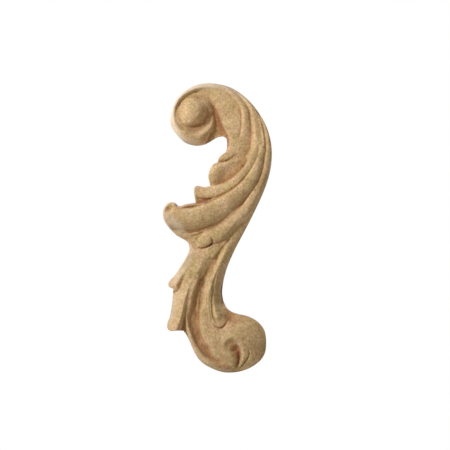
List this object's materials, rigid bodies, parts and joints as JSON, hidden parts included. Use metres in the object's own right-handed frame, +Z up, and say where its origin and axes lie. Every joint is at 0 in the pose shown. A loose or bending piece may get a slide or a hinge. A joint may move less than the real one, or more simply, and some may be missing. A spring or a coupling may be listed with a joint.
{
  "type": "wood pulp applique",
  "caption": "Pressed wood-pulp furniture applique: a leafy acanthus S-scroll with a ball-eyed volute above, curled leaf lobes at the side and a rolled volute at the foot, flat behind.",
  "frame": {"origin": "on the flat glue face at the back, at the middle of the scroll's height and width", "axes": "+Z up along the scroll's length with the ball-eyed volute at the top, +X right as seen from the front, +Y out of the flat back towards the wall or panel that it is fixed to, so the carved face looks along -Y"},
  "size_m": [0.0416, 0.0121, 0.1104],
  "materials": {
    "wood_pulp": "raw pressed wood pulp, fine granular, matte, unpainted"
  },
  "bodies": {
    "root": {"acanthus_scroll": "wood_pulp"}
  },
  "joints": []
}
